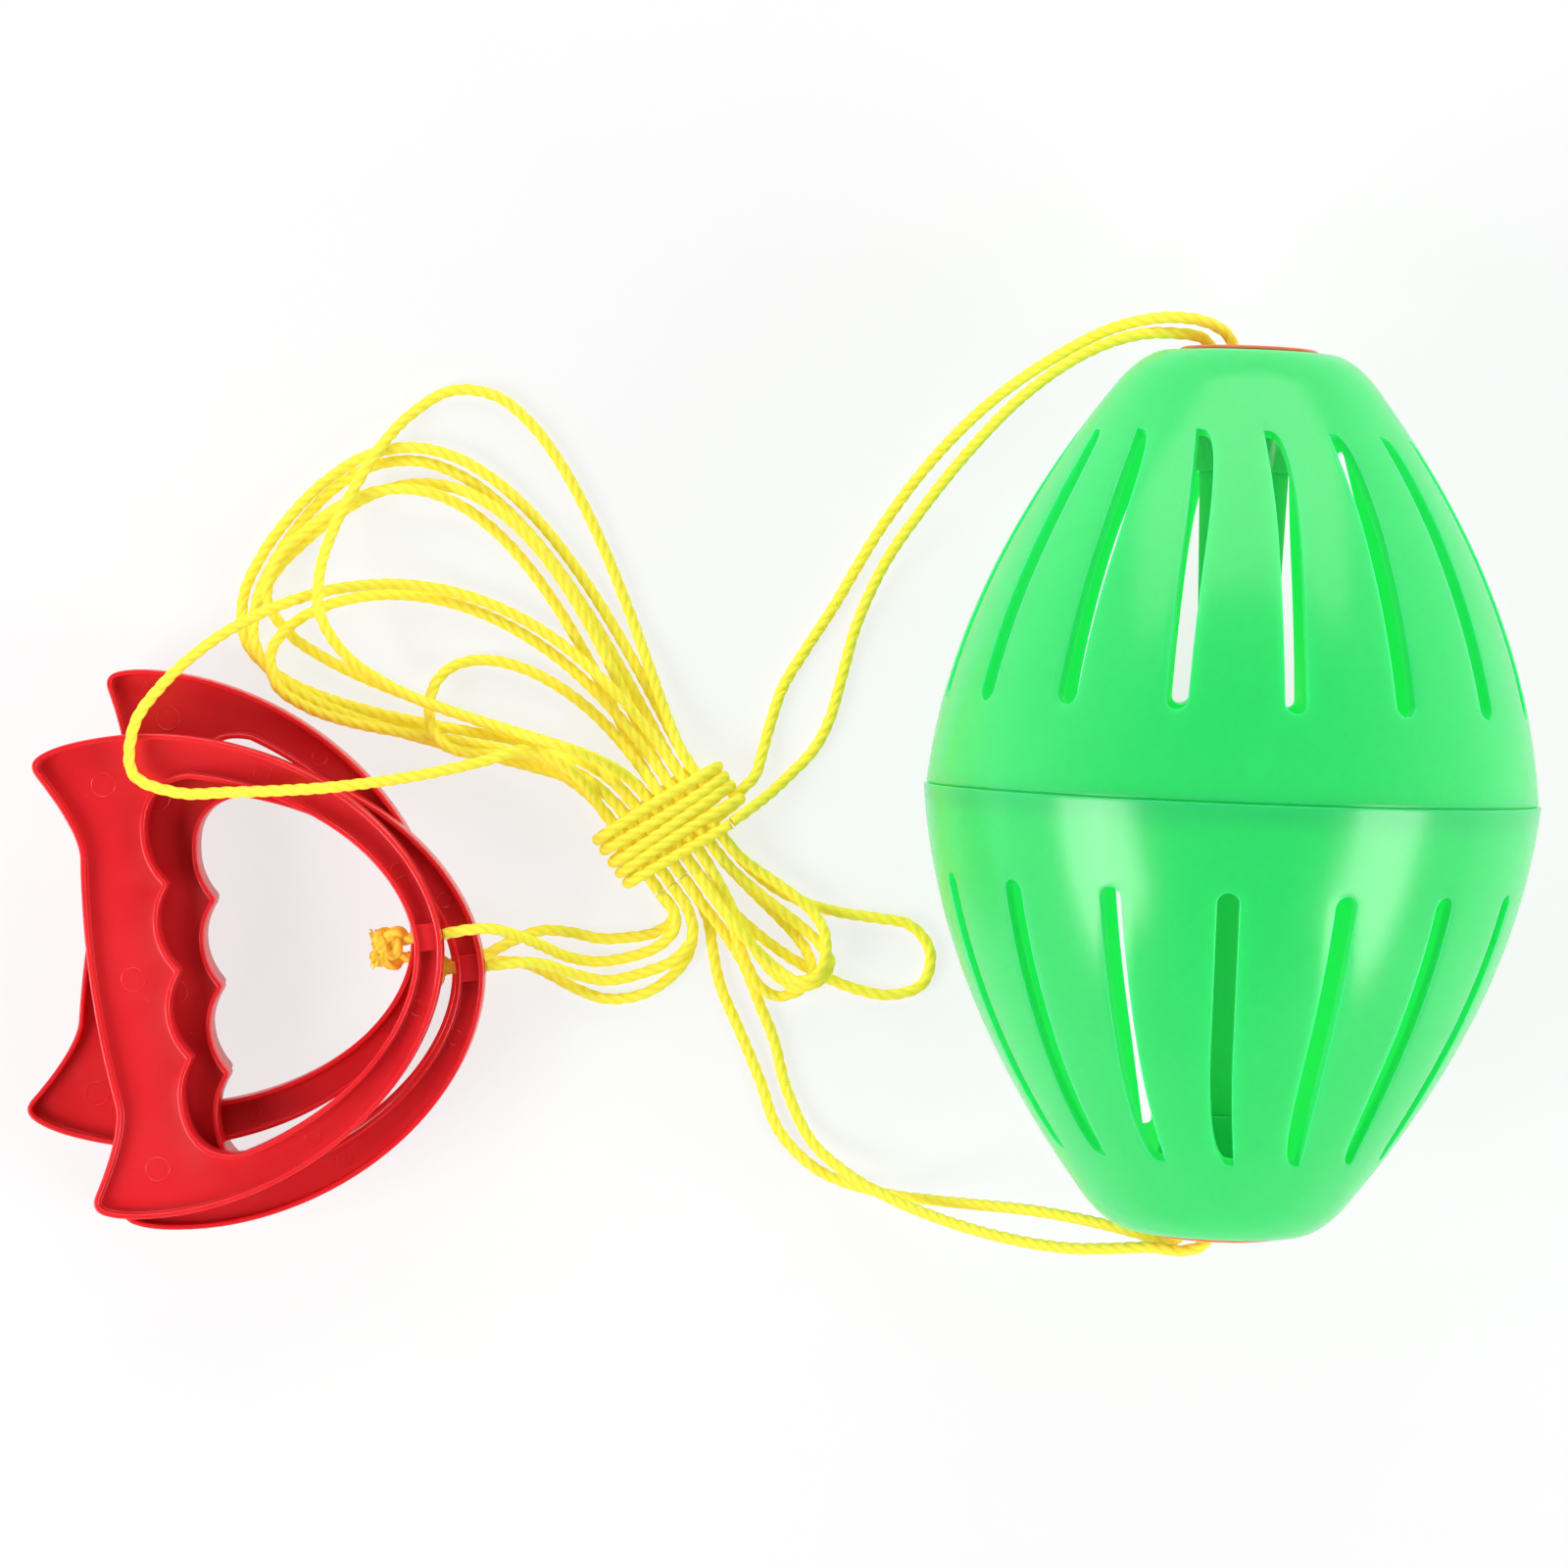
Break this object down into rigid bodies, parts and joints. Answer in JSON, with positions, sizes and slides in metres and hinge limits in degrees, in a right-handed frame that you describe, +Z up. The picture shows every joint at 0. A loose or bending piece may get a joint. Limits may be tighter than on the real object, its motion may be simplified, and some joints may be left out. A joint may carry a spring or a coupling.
{
  "type": "tug ball",
  "caption": "Slotted plastic shuttle ball in two halves that runs along paired ropes, with D-shaped finger-grip pull handles and the spare rope tied in a hank.",
  "frame": {"origin": "centre of the ball and handle stack's footprint, on the table", "axes": "+X from the handles to the ball, +Y along the ball's axis towards its upper ring, +Z up"},
  "size_m": [0.3508, 0.2251, 0.1404],
  "materials": {
    "green_plastic": "gloss",
    "orange_plastic": "satin",
    "red_plastic": "gloss",
    "yellow_rope": "matte"
  },
  "bodies": {
    "ropes": {"hank_a_top": "yellow_rope", "hank_a_bottom": "yellow_rope", "hank_b_top": "yellow_rope", "hank_b_bottom": "yellow_rope", "hank_tie": "yellow_rope", "top_stretch_a": "yellow_rope", "top_stretch_b": "yellow_rope", "bottom_stretch_a": "yellow_rope", "bottom_stretch_b": "yellow_rope", "lead_1": "yellow_rope", "lead_2": "yellow_rope", "lead_3": "yellow_rope", "lead_4": "yellow_rope"},
    "ball": {"upper_shell": "green_plastic", "lower_shell": "green_plastic", "upper_core_tube": "green_plastic", "lower_core_tube": "green_plastic", "upper_ring": "orange_plastic", "lower_ring": "orange_plastic", "inner_rope_a": "yellow_rope", "inner_rope_b": "yellow_rope"},
    "handle_1": {"handle_1": "red_plastic", "knot_1": "yellow_rope"},
    "handle_2": {"handle_2": "red_plastic", "knot_2": "yellow_rope"},
    "handle_3": {"handle_3": "red_plastic", "knot_3": "yellow_rope"},
    "handle_4": {"handle_4": "red_plastic", "knot_4": "yellow_rope"}
  },
  "joints": [
    {"name": "ball_slide", "type": "slide", "parent": "ropes", "child": "ball", "axis": [0, 1, 0], "range_m": [-0.04, 0.04], "deforming": ["top_stretch_a", "top_stretch_b", "bottom_stretch_a", "bottom_stretch_b"]},
    {"name": "handle_1_swing", "type": "hinge", "parent": "ropes", "child": "handle_1", "pos_m": [-0.0764, -0.0334, 0.0327], "axis": [0, 0, 1], "range_deg": [0, 25], "deforming": ["lead_1"]},
    {"name": "handle_2_swing", "type": "hinge", "parent": "ropes", "child": "handle_2", "pos_m": [-0.0786, -0.0418, 0.0139], "axis": [0, 0, 1], "range_deg": [0, 25], "deforming": ["lead_2"]},
    {"name": "handle_3_swing", "type": "hinge", "parent": "ropes", "child": "handle_3", "pos_m": [-0.0667, -0.0412, 0.0233], "axis": [0, 0, 1], "range_deg": [0, 25], "deforming": ["lead_3"]},
    {"name": "handle_4_swing", "type": "hinge", "parent": "ropes", "child": "handle_4", "pos_m": [-0.0689, -0.0417, 0.0045], "axis": [0, 0, 1], "range_deg": [0, 25], "deforming": ["lead_4"]}
  ]
}
